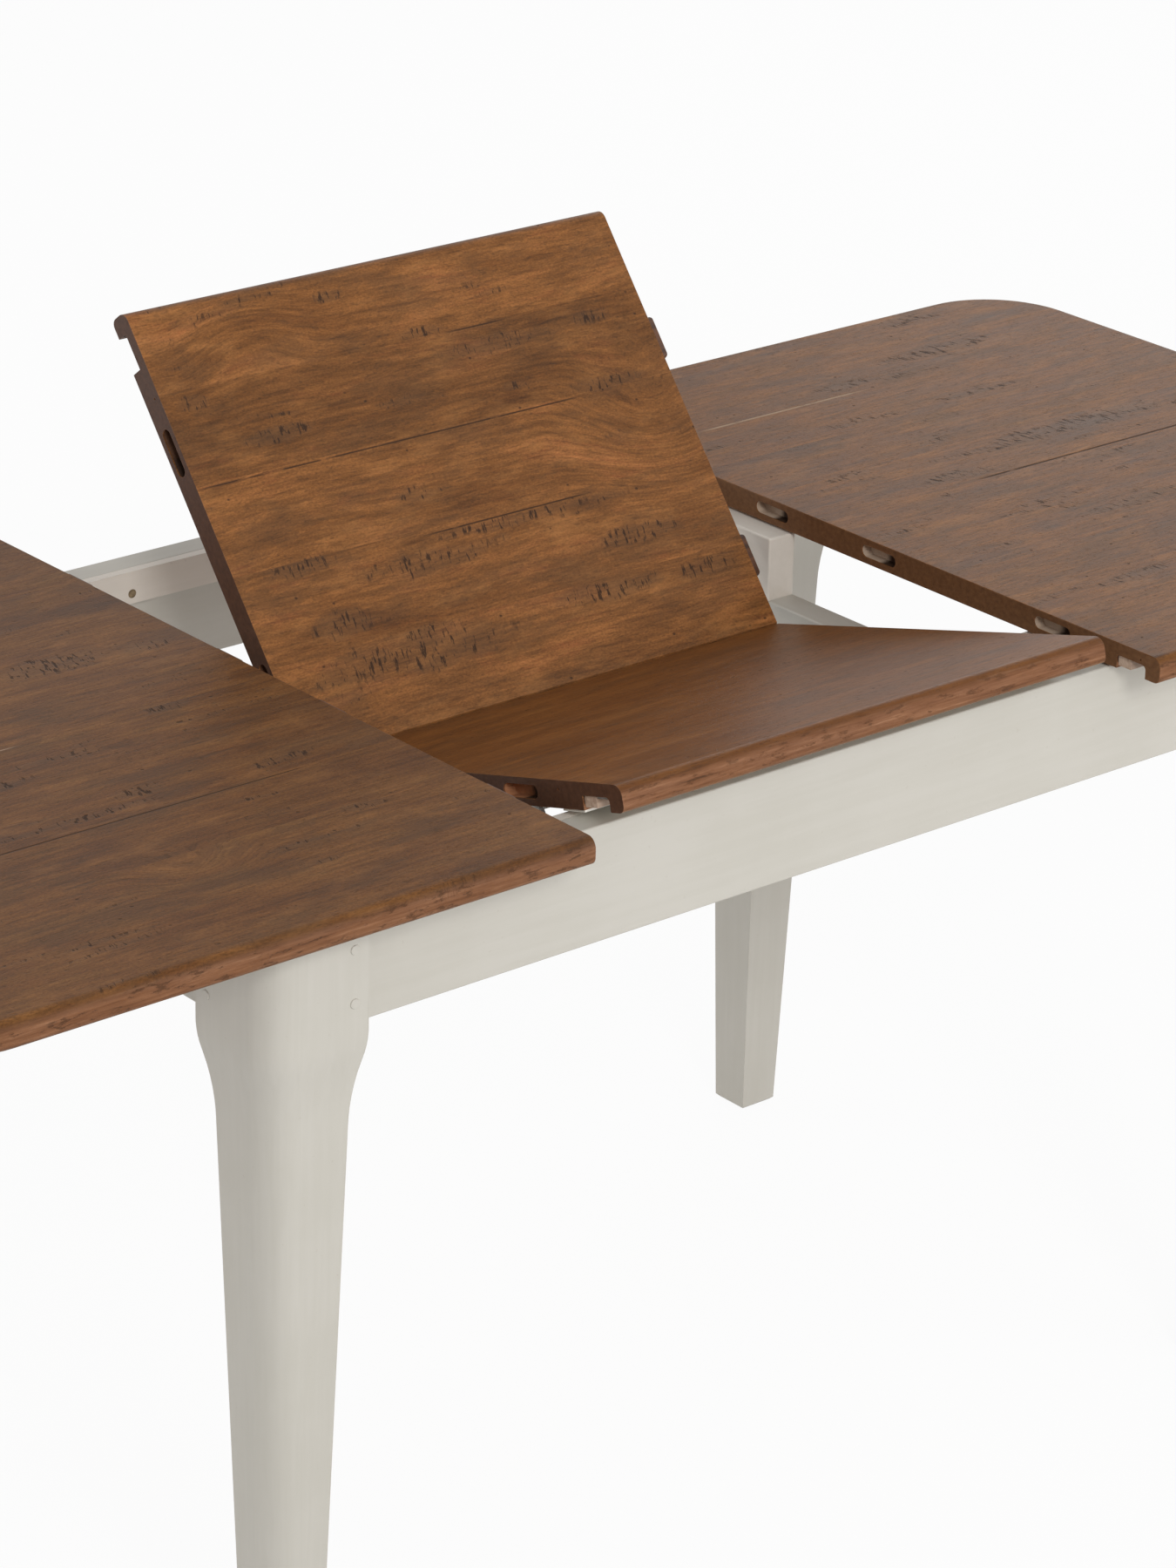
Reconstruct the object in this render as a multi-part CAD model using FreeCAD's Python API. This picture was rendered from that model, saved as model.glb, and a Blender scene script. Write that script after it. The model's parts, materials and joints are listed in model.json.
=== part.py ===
import FreeCAD, Part
import os
from math import cos, radians, sin, sqrt
from FreeCAD import Placement, Rotation, Vector

# Extending table with a two-piece butterfly leaf, in millimetres.
# X runs along the table, -Y is the front, +Z is up, origin on the floor under the middle.
# The tops are drawn apart and the leaf is part way through unfolding.

# Overall sizes
table_height = 750.0
table_width = 800.0
leaf_length = 508.0
leaf_end_gap = 43.0

# Panels: two tops and two leaf halves share one section
panel_thickness = 22.0
top_corner_radius = 90.0
nose_top_radius = 9.0
nose_bottom_radius = 6.0
lip_width = 16.0
groove_width = 32.0
groove_depth = 11.5
groove_end_margin = 112.0
inner_edge_easing = 0.8
groove_easing = 4.0

# Strips under the panels: bare wood and steel in the grooves, nylon where the leaf lies on the apron
strip_width = 14.0
strip_height = 9.5
strip_end_gap = 2.0
rear_strip_end_gap = 40.0
strip_clearance = 0.1
bar_width = 11.0
bar_thickness = 2.0
bar_wall_gap = 5.0
rest_strip_width = 26.0
rest_strip_gap = 2.0

# Tongues on one edge, slots for them on the facing edge
tongue_length = 40.0
tongue_height = 9.0
tongue_out = 10.0
tongue_in = 12.0
tongue_tip_radius = 3.0
tongue_glue_gap = 0.1
slot_clearance = 1.0
tongue_middle_offset = 68.0
tongue_edge_inset = 123.0
locating_hole_radius = 1.0
locating_hole_depth = 15.0
locating_hole_drop = 7.0
locating_hole_inset = 22.0
leaf_hole_inset = 76.0

# Legs
leg_block = 90.0
leg_foot = 40.0
leg_neck = 73.4
leg_block_length = 92.5
leg_shoulder_radius = 105.0
leg_hollow_radius = 262.0
leg_outer_radius = 26.0
leg_foot_easing = 2.5
leg_rail_gap = 171.0
leg_end_inset = 34.0
leg_side_inset = 40.0
glide_height = 2.0
glide_radius = 13.0
glide_easing = 1.0

# Aprons and the bearer rails that the tops run on
running_gap = 2.5
apron_height = 97.0
apron_thickness = 26.0
apron_setback = 19.0
apron_easing = 1.5
tenon_length = 28.0
tenon_thickness = 10.0
tenon_shoulder = 12.0
tenon_clearance = 0.2
peg_radius = 4.0
peg_inset = 13.0
peg_end_inset = 27.0
peg_proud = 0.8
peg_depth = 41.0
peg_easing = 0.6
peg_clearance = 0.05
bearer_height = 29.0
bearer_thickness = 9.0
bearer_screw_inset = 46.0
bearer_screw_drop = 20.0

# Cross rails that carry the leaf, each with two blocks standing on it
rail_thickness = 30.0
rail_height = 39.5
rail_offset = 21.0
rail_easing = 2.0
rear_block_length = 234.0
front_block_length = 35.0
guide_channel = 27.0

# Guide battens under the tops, hooked below the bearer rails
guide_width = 22.0
guide_drop = 48.0
guide_clearance = 1.0
guide_hook_height = 15.0
guide_end_inset = 8.0
guide_stop_travel = 8.0
guide_screw_inset = 24.0

# Slide pads between frame and tops
pad_clearance = 0.3
pad_length = 24.0
pad_width = 14.0
pad_rail_inset = 25.0
pad_leg_inset = 36.0
leg_pad_radius = 15.0

# Leaf pose and pivot
swing_rest = 15.9
fold_rest = 67.3
pivot_inset = 94.0
pivot_drop = 77.5
pivot_radius = 5.0
pivot_clearance = 0.05
pivot_plate_thickness = 3.0
pivot_plate_width = 58.0
pivot_plate_foot = 6.0
pivot_plate_margin = 7.0
bracket_thickness = 4.0
bracket_eye_radius = 7.5
bracket_flange_depth = 50.0
bracket_flange_width = 40.0
bracket_flange_setback = 12.0
bracket_end_inset = 2.0
bracket_neck = 8.0

# Needle hinges in a small vee between the leaf halves
leaf_joint_gap = 0.5
hinge_depth = 1.8
hinge_vee = 2.2
hinge_knuckle_radius = 1.4
hinge_pin_radius = 0.7
hinge_pin_clearance = 0.04
hinge_length = 30.0
hinge_leaf_depth = 12.0
hinge_leaf_thickness = 1.6
hinge_working_gap = 0.25
hinge_end_inset = 69.0

# Corner blocks, bolts and brackets
corner_reach = 68.0
corner_height = 42.0
corner_lift = 4.0
corner_leg_gap = 2.0
bolt_radius = 4.0
bolt_depth = 42.0
bolt_spacing = 20.0
bolt_standout = 12.0
bolt_clearance = 0.05
washer_radius = 8.5
washer_thickness = 1.6
nut_flats = 13.0
nut_thickness = 6.5
angle_length = 30.0
angle_width = 20.0
angle_thickness = 2.5
angle_lift = 8.0

# Screws
screw_radius = 2.0
screw_head_radius = 4.0
screw_head_height = 2.4
screw_clearance = 0.05
screw_hold = 12.0

# Places worked out from the sizes above
half_width = table_width / 2
half_leaf = leaf_length / 2
top_opening = half_leaf + leaf_end_gap
rail_inner = half_leaf + rail_offset
rail_outer = rail_inner + rail_thickness
panel_bottom = table_height - panel_thickness
frame_top = panel_bottom - running_gap
apron_bottom = frame_top - apron_height
leg_inner_x = rail_outer + leg_rail_gap
leg_x = leg_inner_x + leg_block / 2
top_length = leg_inner_x + leg_block + leg_end_inset
leg_y = half_width - leg_side_inset - leg_block / 2
leg_inner_y = leg_y - leg_block / 2
leg_block_bottom = frame_top - leg_block_length
leg_taper = (leg_neck - leg_foot) / 2 / leg_block_bottom
leg_outer_x = leg_x + leg_block / 2
leg_outer_y = leg_y + leg_block / 2
long_apron_outer = leg_outer_y - apron_setback
long_apron_inner = long_apron_outer - apron_thickness
end_apron_outer = leg_outer_x - apron_setback
end_apron_inner = end_apron_outer - apron_thickness
bearer_inner = long_apron_inner - bearer_thickness
bearer_bottom = frame_top - bearer_height
rail_top = apron_bottom + rail_height
block_end = bearer_inner - guide_channel
rear_block_start = block_end - rear_block_length
front_block_start = block_end - front_block_length
guide_bottom = panel_bottom - guide_drop
guide_outer = bearer_inner - guide_clearance
guide_inner = guide_outer - guide_width
guide_length = leg_inner_x - guide_clearance - guide_stop_travel - top_opening - guide_end_inset
tongue_z = table_height - panel_thickness / 2
tongue_near = tongue_middle_offset
tongue_far = half_width - tongue_edge_inset
pivot_y = -half_width + pivot_inset
pivot_z = table_height - pivot_drop
hinge_z = table_height - hinge_depth
hinge_places = (hinge_end_inset - half_leaf, 0.0, half_leaf - hinge_end_inset)
bracket_x = half_leaf - bracket_end_inset
corner_bottom = apron_bottom + corner_lift

os.makedirs("parts", exist_ok=True)


def box(x, y, z):
    low = Vector(min(x), min(y), min(z))
    size = Vector(max(x), max(y), max(z)) - low
    return Part.makeBox(size.x, size.y, size.z, low)


def rod(radius, start, direction, length):
    return Part.makeCylinder(radius, length, start, direction)


def prism(points, along):
    wire = Part.makePolygon(points + points[:1])
    return Part.Face(wire).extrude(along)


def mirrored(shape, normal):
    return shape.mirror(Vector(0, 0, 0), normal)


def eased(shape, radius, chosen):
    return shape.makeFillet(radius, [edge for edge in shape.Edges if chosen(edge)])


def runs_along(edge, axis):
    direction = edge.tangentAt(edge.FirstParameter)
    return abs(abs(direction.dot(axis)) - 1) < 1e-6


def save(name, solids):
    shape = solids[0] if len(solids) == 1 else Part.makeCompound(solids)
    shape.exportStep("parts/%s.step" % name)


x_axis = Vector(1, 0, 0)
y_axis = Vector(0, 1, 0)
z_axis = Vector(0, 0, 1)
corners = {
    "front_left": (-1, -1),
    "front_right": (1, -1),
    "rear_left": (-1, 1),
    "rear_right": (1, 1),
}


# Screw with a countersunk head flush at its start, and the hole that it needs
def screw(start, direction, length):
    head = Part.makeCone(screw_head_radius, screw_radius, screw_head_height, start, direction)
    return head.fuse(rod(screw_radius, start, direction, length)).removeSplitter()


def screw_hole(start, direction, length):
    wide = screw_radius + screw_clearance
    mouth = screw_head_radius + screw_clearance
    sink = Part.makeCone(mouth, wide, screw_head_height, start, direction)
    tip_gap = direction * screw_clearance
    return sink.fuse(rod(wide, start, direction, length + tip_gap.Length))


# A leg's side: block, rounded shoulder, hollow that runs into a straight taper, eased foot
taper_lean = 1 / sqrt(1 + leg_taper * leg_taper)
shoulder_centre = Vector(leg_block / 2 - leg_shoulder_radius, 0, leg_block_bottom)
curve_reach = leg_shoulder_radius + leg_hollow_radius
hollow_offset_x = leg_foot / 2 + leg_hollow_radius * taper_lean - shoulder_centre.x
hollow_offset_z = -leg_hollow_radius * leg_taper * taper_lean - shoulder_centre.z
quad_a = 1 + leg_taper * leg_taper
quad_b = 2 * (leg_taper * hollow_offset_x + hollow_offset_z)
quad_c = hollow_offset_x * hollow_offset_x + hollow_offset_z * hollow_offset_z - curve_reach * curve_reach
taper_top = (-quad_b - sqrt(quad_b * quad_b - 4 * quad_a * quad_c)) / (2 * quad_a)
taper_start = Vector(leg_foot / 2 + leg_taper * taper_top, 0, taper_top)
hollow_centre = taper_start + Vector(taper_lean, 0, -leg_taper * taper_lean) * leg_hollow_radius
curve_change = shoulder_centre + (hollow_centre - shoulder_centre) * (leg_shoulder_radius / curve_reach)


def leg_half(height):
    if height >= leg_block_bottom:
        return leg_block / 2
    if height >= curve_change.z:
        rise = height - shoulder_centre.z
        return shoulder_centre.x + sqrt(leg_shoulder_radius ** 2 - rise ** 2)
    if height > taper_top:
        rise = height - hollow_centre.z
        return hollow_centre.x - sqrt(leg_hollow_radius ** 2 - rise ** 2)
    return leg_foot / 2 + leg_taper * height


def leg_section(height, shrink=0):
    half = leg_half(height) - shrink
    radius = leg_outer_radius - shrink
    start = Vector(half, half - radius, height)
    end = Vector(half - radius, half, height)
    bulge = half - radius * (1 - sqrt(0.5))
    inner = Vector(-half, -half, height)
    right = Vector(half, -half, height)
    rear = Vector(-half, half, height)
    return Part.Wire([
        Part.makeLine(inner, right),
        Part.makeLine(right, start),
        Part.Arc(start, Vector(bulge, bulge, height), end).toShape(),
        Part.makeLine(end, rear),
        Part.makeLine(rear, inner),
    ])


# Leg standing at the origin, with its rounded corner towards +X +Y
def leg_body():
    shoulder_drop = leg_block_bottom - curve_change.z
    hollow_drop = curve_change.z - taper_top
    heights = [leg_block_bottom - shoulder_drop * share for share in (0, 0.2, 0.5, 0.8, 1)]
    heights += [curve_change.z - hollow_drop * share for share in (0.15, 0.4, 0.65, 0.85, 1)]
    foot_top = glide_height + leg_foot_easing
    block = Part.makeLoft([leg_section(frame_top), leg_section(leg_block_bottom)], True, True)
    curve = Part.makeLoft([leg_section(height) for height in heights], True, False)
    taper = Part.makeLoft([leg_section(taper_top), leg_section(foot_top)], True, True)
    foot = Part.makeLoft([leg_section(foot_top), leg_section(glide_height, leg_foot_easing)], True, True)
    return block.fuse([curve, taper, foot]).removeSplitter()


# Long and end aprons with their tenons, and the mortises for them in the legs
def long_apron(side):
    board = box((-leg_inner_x, leg_inner_x), (side * long_apron_inner, side * long_apron_outer),
                (apron_bottom, frame_top))
    board = eased(board, apron_easing, lambda edge: runs_along(edge, x_axis))
    reach = leg_inner_x + tenon_length
    return board.fuse(long_tenon(side, reach, 0)).removeSplitter()


def long_tenon(side, reach, gap):
    middle = side * (long_apron_inner + long_apron_outer) / 2
    half = tenon_thickness / 2 + gap
    heights = (apron_bottom + tenon_shoulder - gap, frame_top - tenon_shoulder + gap)
    return box((-reach - gap, reach + gap), (middle - half, middle + half), heights)


def end_apron(side):
    board = box((side * end_apron_inner, side * end_apron_outer), (-leg_inner_y, leg_inner_y),
                (apron_bottom, frame_top))
    board = eased(board, apron_easing, lambda edge: runs_along(edge, y_axis))
    reach = leg_inner_y + tenon_length
    return board.fuse(end_tenon(side, reach, 0)).removeSplitter()


def end_tenon(side, reach, gap):
    middle = side * (end_apron_inner + end_apron_outer) / 2
    half = tenon_thickness / 2 + gap
    heights = (apron_bottom + tenon_shoulder - gap, frame_top - tenon_shoulder + gap)
    return box((middle - half, middle + half), (-reach - gap, reach + gap), heights)


# Pegs through the tenons in the +X +Y leg, two from each outer face
peg_heights = (apron_bottom + peg_end_inset, frame_top - peg_end_inset)
peg_places = [(Vector(leg_inner_x + peg_inset, leg_outer_y, 0), -y_axis),
              (Vector(leg_outer_x, leg_inner_y + peg_inset, 0), -x_axis)]


def leg_pegs():
    pegs = []
    for place, inwards in peg_places:
        for height in peg_heights:
            head = place - inwards * peg_proud + z_axis * height
            peg = rod(peg_radius, head, inwards, peg_proud + peg_depth)

            def rim(edge):
                return (edge.CenterOfMass - head).Length < peg_easing

            pegs.append(eased(peg, peg_easing, rim))
    return pegs


def peg_holes():
    holes = []
    for place, inwards in peg_places:
        for height in peg_heights:
            start = place + z_axis * height
            holes.append(rod(peg_radius + peg_clearance, start, inwards, peg_depth + peg_clearance))
    return Part.makeCompound([at_corner(hole, signs) for signs in corners.values() for hole in holes])


def at_corner(shape, signs):
    placed = shape.copy()
    for sign, normal in zip(signs, (x_axis, y_axis)):
        if sign < 0:
            placed = mirrored(placed, normal)
    return placed


# Corner block in the +X +Y corner, cut round the leg, and the two bolts through it
bolt_direction = Vector(1, 1, 0).normalize()
corner_point = Vector(leg_inner_x, leg_inner_y, 0)
corner_face_sum = leg_inner_x - corner_leg_gap - corner_reach + long_apron_inner
corner_face_gap = (leg_inner_x + leg_inner_y - corner_face_sum) / sqrt(2)
bolt_heights = [corner_bottom + corner_height / 2 + half * bolt_spacing / 2 for half in (-1, 1)]


def corner_block():
    leg_side = leg_inner_x - corner_leg_gap
    leg_front = leg_inner_y - corner_leg_gap
    plan = [
        Vector(leg_side, long_apron_inner, corner_bottom),
        Vector(leg_side - corner_reach, long_apron_inner, corner_bottom),
        Vector(end_apron_inner, corner_face_sum - end_apron_inner, corner_bottom),
        Vector(end_apron_inner, leg_front, corner_bottom),
        Vector(leg_side, leg_front, corner_bottom),
    ]
    block = prism(plan, z_axis * corner_height)
    for height in bolt_heights:
        block = block.cut(bolt(height, bolt_clearance))
    return block


def bolt(height, gap):
    length = bolt_depth + corner_face_gap + bolt_standout + gap
    start = corner_point - bolt_direction * (corner_face_gap + bolt_standout)
    return rod(bolt_radius + gap, start + z_axis * height, bolt_direction, length)


def bolt_washer(height):
    start = corner_point - bolt_direction * (corner_face_gap + washer_thickness) + z_axis * height
    disc = rod(washer_radius, start, bolt_direction, washer_thickness)
    return disc.cut(bolt(height, bolt_clearance))


def bolt_nut(height):
    back = corner_face_gap + washer_thickness + nut_thickness
    start = corner_point - bolt_direction * back + z_axis * height
    across = nut_flats / sqrt(3)
    side = bolt_direction.cross(z_axis)
    points = []
    for turn in range(6):
        angle = radians(60 * turn)
        points.append(start + (side * cos(angle) + z_axis * sin(angle)) * across)
    return prism(points, bolt_direction * nut_thickness).cut(bolt(height, bolt_clearance))


# Bearer rail on the inside of a long apron, with the screws that hold it
bearer_screw_length = bearer_thickness + screw_hold
bearer_screw_step = (leg_inner_x - bearer_screw_inset) / 2
bearer_screw_places = [n * bearer_screw_step for n in (-2, -1, 0, 1, 2)]


def bearer_screws(side, make):
    heights = frame_top - bearer_screw_drop
    starts = [Vector(x, side * bearer_inner, heights) for x in bearer_screw_places]
    return [make(start, y_axis * side, bearer_screw_length) for start in starts]


def bearer_rail(side):
    rail = box((-leg_inner_x, leg_inner_x), (side * bearer_inner, side * long_apron_inner),
               (bearer_bottom, frame_top))
    return rail.cut(Part.makeCompound(bearer_screws(side, screw_hole)))


# Cross rail at one end of the leaf, with the blocks that stand on it
def cross_rail(side):
    rail = box((side * rail_inner, side * rail_outer), (-long_apron_inner, long_apron_inner),
               (apron_bottom, rail_top))
    return eased(rail, rail_easing, lambda edge: runs_along(edge, y_axis))


def rail_block(side, start, end):
    block = box((side * rail_inner, side * rail_outer), (start, end), (rail_top, frame_top))
    return eased(block, rail_easing, lambda edge: edge.BoundBox.ZMax > rail_top + 1)


def angle_bracket(x_side, y_side):
    heights = (apron_bottom + angle_lift, apron_bottom + angle_lift + angle_width)
    wall = y_side * long_apron_inner
    on_rail = box((x_side * rail_outer, x_side * (rail_outer + angle_thickness)),
                  (wall - y_side * angle_length, wall), heights)
    on_apron = box((x_side * rail_outer, x_side * (rail_outer + angle_length)),
                   (wall - y_side * angle_thickness, wall), heights)
    return on_rail.fuse(on_apron).removeSplitter()


# Plate on the cross rail that holds the leaf's pivot pin
pivot_plate_bottom = apron_bottom + pivot_plate_foot
pivot_plate_top = pivot_z + pivot_plate_margin
pivot_plate_front = pivot_y - pivot_plate_margin
pivot_plate_screws = [pivot_plate_front + pivot_plate_width * share for share in (0.45, 0.8)]
pivot_plate_screw_z = (pivot_plate_bottom + rail_top) / 2


def plate_screws(side, make):
    face = side * (rail_inner - pivot_plate_thickness)
    starts = [Vector(face, y, pivot_plate_screw_z) for y in pivot_plate_screws]
    return [make(start, x_axis * side, pivot_plate_thickness + screw_hold) for start in starts]


def pivot_plate(side):
    plate = box((side * (rail_inner - pivot_plate_thickness), side * rail_inner),
                (pivot_plate_front, pivot_plate_front + pivot_plate_width),
                (pivot_plate_bottom, pivot_plate_top))
    bore = rod(pivot_radius + pivot_clearance, Vector(-rail_outer, pivot_y, pivot_z), x_axis, 2 * rail_outer)
    return plate.cut(bore).cut(Part.makeCompound(plate_screws(side, screw_hole)))


# Tongue in the edge at x = 0, pointing to +X, and the slot for it
def stadium(length, height, start_x, depth):
    half = length / 2 - height / 2
    block = box((start_x, start_x + depth), (-half, half), (-height / 2, height / 2))
    for y in (-half, half):
        block = block.fuse(rod(height / 2, Vector(start_x, y, 0), x_axis, depth))
    return block.removeSplitter()


def tongue():
    body = stadium(tongue_length, tongue_height, -tongue_in, tongue_in + tongue_out)
    plan = box((-tongue_in, tongue_out), (-tongue_length / 2, tongue_length / 2),
               (-tongue_height, tongue_height))

    def tip(edge):
        return runs_along(edge, z_axis) and edge.CenterOfMass.x > 0

    return body.common(eased(plan, tongue_tip_radius, tip))


def tongue_mortise():
    wide = 2 * tongue_glue_gap
    depth = tongue_in + tongue_glue_gap
    return stadium(tongue_length + wide, tongue_height + wide, -depth, depth)


def tongue_slot():
    wide = 2 * slot_clearance
    depth = tongue_out + slot_clearance
    return stadium(tongue_length + wide, tongue_height + wide, 0, depth)


def along_edge(shape, x, places):
    return [shape.translated(Vector(x, y, tongue_z)) for y in places]


top_tongues = (-tongue_far, -tongue_near, tongue_near, tongue_far)


# Groove under a long edge, rounded where its roof meets the lip, and the strips under the panel
groove_outer = half_width - lip_width
groove_inner = groove_outer - groove_width
groove_roof = panel_bottom + groove_depth


def edge_groove(x, side):
    groove = box(x, (side * groove_inner, side * groove_outer), (panel_bottom, groove_roof))

    def lip_corner(edge):
        middle = edge.CenterOfMass
        return (runs_along(edge, x_axis) and middle.z > groove_roof - 1e-3
                and abs(middle.y) > groove_outer - 1e-3)

    return eased(groove, groove_easing, lip_corner)


def groove_strip(x, side):
    start = groove_inner + strip_clearance
    return box(x, (side * start, side * (start + strip_width)), (groove_roof - strip_height, groove_roof))


def groove_bar(x, side):
    end = groove_outer - bar_wall_gap
    return box(x, (side * (end - bar_width), side * end), (groove_roof - bar_thickness, groove_roof))


def rest_strip(x, side):
    end = groove_inner - rest_strip_gap
    thickness = running_gap - pad_clearance
    return box(x, (side * (end - rest_strip_width), side * end), (panel_bottom - thickness, panel_bottom))


# Right-hand top at its closed place: inner edge on x = 0, rounded outer corners
def top_panel():
    width = half_width
    corner = top_corner_radius
    bend = corner * (1 - sqrt(0.5))
    corner_start = Vector(top_length - corner, width, panel_bottom)
    corner_end = Vector(top_length, width - corner, panel_bottom)
    corner_mid = Vector(top_length - bend, width - bend, panel_bottom)
    rear = [
        Part.makeLine(Vector(0, width, panel_bottom), corner_start),
        Part.Arc(corner_start, corner_mid, corner_end).toShape(),
    ]
    front = [mirrored(edge, y_axis) for edge in rear]
    ends = [
        Part.makeLine(corner_end, Vector(top_length, corner - width, panel_bottom)),
        Part.makeLine(Vector(0, width, panel_bottom), Vector(0, -width, panel_bottom)),
    ]
    wire = Part.Wire(Part.__sortEdges__(rear + front + ends))
    panel = Part.Face(wire).extrude(z_axis * panel_thickness)

    def level(height):
        def outer(edge):
            flat = edge.BoundBox.ZMax - edge.BoundBox.ZMin < 1e-3
            return flat and abs(edge.CenterOfMass.z - height) < 1e-3 and edge.CenterOfMass.x > 1e-3
        return outer

    panel = eased(panel, nose_top_radius, level(table_height))
    panel = eased(panel, nose_bottom_radius, level(panel_bottom))
    for side in (-1, 1):
        panel = panel.cut(edge_groove((0, top_length - groove_end_margin), side))
    return panel


# Leaf half at its flat place, hinge edge next to y = 0 and bullnosed edge towards +Y
def leaf_panel():
    edge_y = leaf_joint_gap / 2
    panel = box((-half_leaf, half_leaf), (edge_y, half_width), (panel_bottom, table_height))

    def nose(height):
        def chosen(edge):
            middle = edge.CenterOfMass
            return (runs_along(edge, x_axis) and abs(middle.z - height) < 1e-3
                    and middle.y > half_width - 1e-3)
        return chosen

    panel = eased(panel, nose_top_radius, nose(table_height))
    panel = eased(panel, nose_bottom_radius, nose(panel_bottom))
    panel = panel.cut(edge_groove((-half_leaf, half_leaf), 1))
    vee = prism([
        Vector(-half_leaf, edge_y, table_height - hinge_depth),
        Vector(-half_leaf, edge_y + hinge_vee, table_height),
        Vector(-half_leaf, edge_y, table_height),
    ], x_axis * leaf_length)
    panel = panel.cut(vee)
    slot = tongue_slot()
    mortise = tongue_mortise()
    places = (tongue_near, tongue_far)
    cuts = along_edge(slot, -half_leaf, places) + along_edge(mortise, half_leaf, places)
    hole = Vector(-half_leaf, half_width - leaf_hole_inset, table_height - locating_hole_drop)
    cuts.append(rod(locating_hole_radius, hole, x_axis, locating_hole_depth))
    pocket = hinge_knuckle_radius + hinge_working_gap
    for x in hinge_places:
        start = x - hinge_length / 2 - hinge_working_gap
        length = hinge_length + 2 * hinge_working_gap
        cuts.append(rod(pocket, Vector(start, 0, hinge_z), x_axis, length))
        cuts.append(hinge_plate(x, hinge_working_gap / 2))
    return panel.cut(Part.makeCompound(cuts))


# Needle hinge: a plate let into each hinge edge, knuckles shared in thirds, one pin
def hinge_plate(x, gap):
    half = hinge_length / 2 + gap
    edge_y = leaf_joint_gap / 2
    return box((x - half, x + half), (edge_y, edge_y + hinge_leaf_thickness + gap),
               (hinge_z - hinge_leaf_depth - gap, hinge_z))


def hinge_third(x, third, radius):
    width = hinge_length / 3
    start = x + (third - 1.5) * width
    gap = hinge_working_gap / 2
    return rod(radius, Vector(start + gap, 0, hinge_z), x_axis, width - 2 * gap)


def hinge_half(x, own, other):
    half = hinge_plate(x, 0)
    clear = hinge_knuckle_radius + hinge_working_gap
    for third in other:
        start = x + (third - 1.5) * hinge_length / 3
        half = half.cut(rod(clear, Vector(start, 0, hinge_z), x_axis, hinge_length / 3))
    for third in own:
        half = half.fuse(hinge_third(x, third, hinge_knuckle_radius))
    bore = hinge_pin(x, hinge_pin_clearance)
    return half.cut(bore).removeSplitter()


def hinge_pin(x, gap):
    start = Vector(x - hinge_length / 2, 0, hinge_z)
    return rod(hinge_pin_radius + gap, start, x_axis, hinge_length)


# Bracket under the front leaf: flange screwed to the panel, arm down to the pivot pin
bracket_front = -half_width + pivot_inset + bracket_flange_setback
bracket_screw_places = [(across, along) for across in (0.25, 0.7) for along in (0.25, 0.8)]
bracket_screw_length = bracket_thickness + screw_hold


def bracket_screws(side, make):
    screws = []
    for across, along in bracket_screw_places:
        x = side * (bracket_x - bracket_flange_width * across - bracket_thickness)
        y = bracket_front + bracket_flange_depth * along
        start = Vector(x, y, panel_bottom - bracket_thickness)
        screws.append(make(start, z_axis, bracket_screw_length))
    return screws


def leaf_bracket(side):
    inner_x = bracket_x - bracket_thickness
    flange = box((side * (bracket_x - bracket_flange_width), side * bracket_x),
                 (bracket_front, bracket_front + bracket_flange_depth),
                 (panel_bottom - bracket_thickness, panel_bottom))
    plane = side * min(inner_x, bracket_x)
    outline = [
        Vector(plane, bracket_front, panel_bottom),
        Vector(plane, bracket_front + bracket_flange_depth, panel_bottom),
        Vector(plane, pivot_y + bracket_eye_radius * 0.7, pivot_z - bracket_eye_radius * 0.7),
        Vector(plane, pivot_y - bracket_eye_radius * 0.5, pivot_z + bracket_neck),
    ]
    arm = prism(outline, x_axis * (side * bracket_thickness))
    eye_start = Vector(plane, pivot_y, pivot_z)
    eye = rod(bracket_eye_radius, eye_start, x_axis * side, bracket_thickness)
    bore = rod(pivot_radius + tongue_glue_gap / 4, eye_start, x_axis * side, bracket_thickness)
    bracket = flange.fuse(arm).fuse(eye).removeSplitter().cut(bore)
    return bracket.cut(Part.makeCompound(bracket_screws(side, screw_hole)))


def pivot_pin(side):
    start = Vector(side * (bracket_x - bracket_thickness), pivot_y, pivot_z)
    length = rail_inner - pad_clearance - bracket_x + bracket_thickness
    return rod(pivot_radius, start, x_axis * side, length)


# Guide batten under a top: web inside the bearer rail, hook below it
guide_start = guide_end_inset
guide_screw_places = [guide_screw_inset, guide_length / 2, guide_length - guide_screw_inset]
guide_screw_length = guide_drop + screw_hold


def guide_screws(side, make):
    y = side * (guide_inner + guide_width / 2)
    starts = [Vector(guide_start + x, y, guide_bottom) for x in guide_screw_places]
    return [make(start, z_axis, guide_screw_length) for start in starts]


def guide_batten(side):
    hook_top = bearer_bottom - guide_clearance
    hook_bottom = hook_top - guide_hook_height
    ends = (guide_start, guide_start + guide_length)
    web = box(ends, (side * guide_inner, side * guide_outer), (guide_bottom, panel_bottom))
    hook = box(ends, (side * guide_outer, side * (long_apron_inner - guide_clearance)),
               (hook_bottom, hook_top))
    batten = web.fuse(hook).removeSplitter()
    return batten.cut(Part.makeCompound(guide_screws(side, screw_hole)))


# Rest places of the moving bodies
top_shift = {"left": Vector(-top_opening, 0, 0), "right": Vector(top_opening, 0, 0)}
swing = Placement(Vector(0, 0, 0), Rotation(x_axis, -swing_rest), Vector(0, pivot_y, pivot_z))
fold = Placement(Vector(0, 0, 0), Rotation(x_axis, fold_rest), Vector(0, 0, hinge_z))


def swung(shape):
    return shape.transformed(swing.toMatrix(), True)


def folded(shape):
    return shape.transformed(swing.multiply(fold).toMatrix(), True)


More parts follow.
